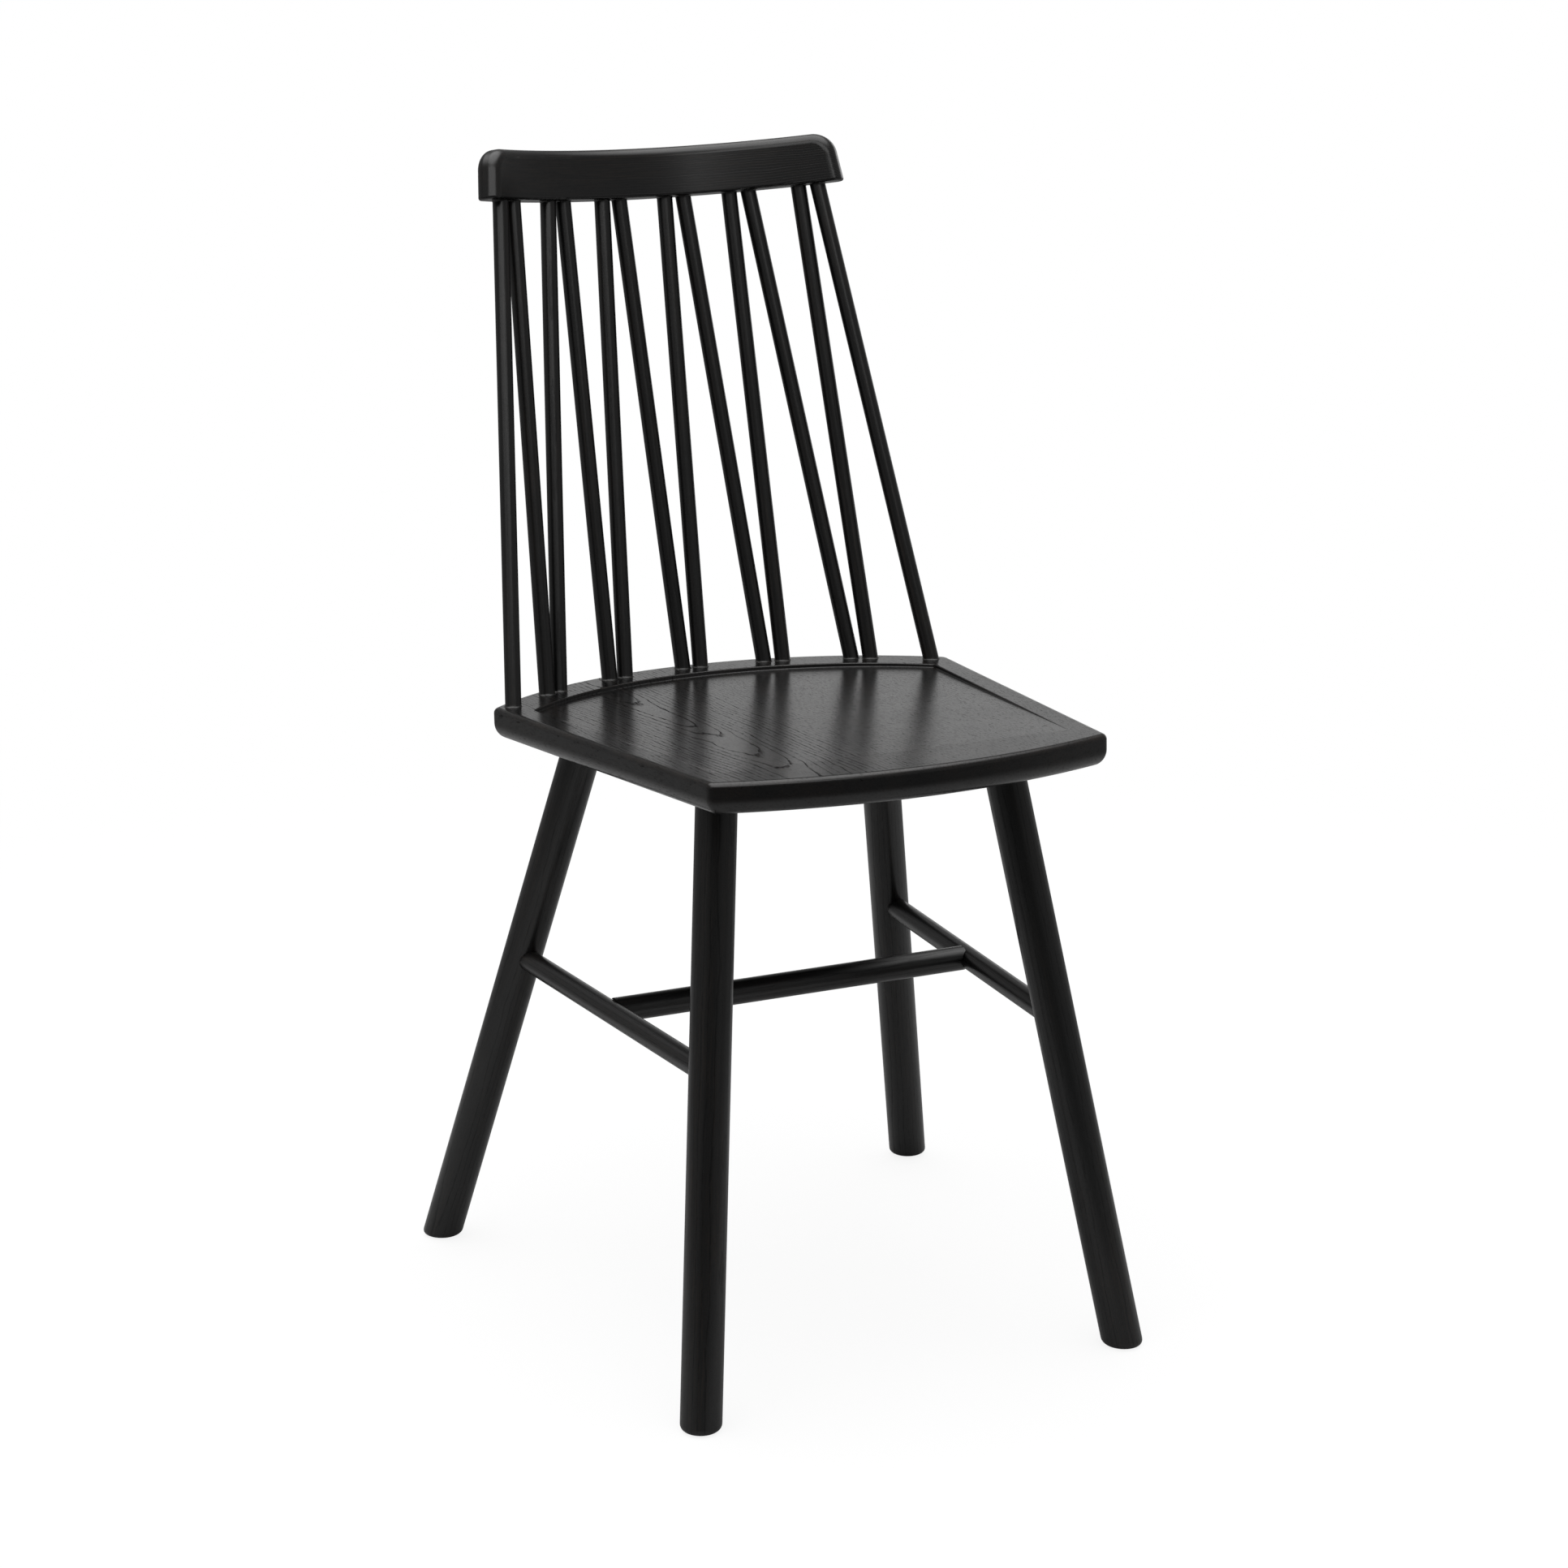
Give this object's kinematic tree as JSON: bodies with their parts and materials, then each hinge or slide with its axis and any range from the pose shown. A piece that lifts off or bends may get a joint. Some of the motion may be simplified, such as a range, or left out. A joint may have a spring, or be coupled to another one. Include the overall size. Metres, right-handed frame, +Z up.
{
  "type": "zigzag stick-back dining chair",
  "caption": "Dining chair in black stained wood: a bent crest rail on slanted round spindles set in a zigzag, a board seat with a sunk top, and splayed round legs with stretchers.",
  "frame": {"origin": "on the floor, below the middle of the chair's outer box", "axes": "+Z up, the chair faces -Y, +X to the right as seen from the front"},
  "size_m": [0.4386, 0.503, 0.8359],
  "materials": {
    "seat_wood": "black stain under satin lacquer, open grain",
    "crest_wood": "black stain under satin lacquer, open grain",
    "spindle_wood": "black stain under satin lacquer, open grain",
    "leg_wood": "black stain under satin lacquer, open grain",
    "stretcher_wood": "black stain under satin lacquer, open grain",
    "glide": "matte black"
  },
  "bodies": {
    "root": {"back_spindle_01": "spindle_wood", "back_spindle_02": "spindle_wood", "back_spindle_03": "spindle_wood", "back_spindle_04": "spindle_wood", "back_spindle_05": "spindle_wood", "back_spindle_06": "spindle_wood", "back_spindle_07": "spindle_wood", "back_spindle_08": "spindle_wood", "back_spindle_09": "spindle_wood", "back_spindle_10": "spindle_wood", "back_spindle_11": "spindle_wood", "back_spindle_12": "spindle_wood", "crest_rail": "crest_wood", "cross_stretcher": "stretcher_wood", "front_left_glide": "glide", "front_left_leg": "leg_wood", "front_right_glide": "glide", "front_right_leg": "leg_wood", "left_side_stretcher": "stretcher_wood", "rear_left_glide": "glide", "rear_left_leg": "leg_wood", "rear_right_glide": "glide", "rear_right_leg": "leg_wood", "right_side_stretcher": "stretcher_wood", "seat": "seat_wood"}
  },
  "joints": []
}
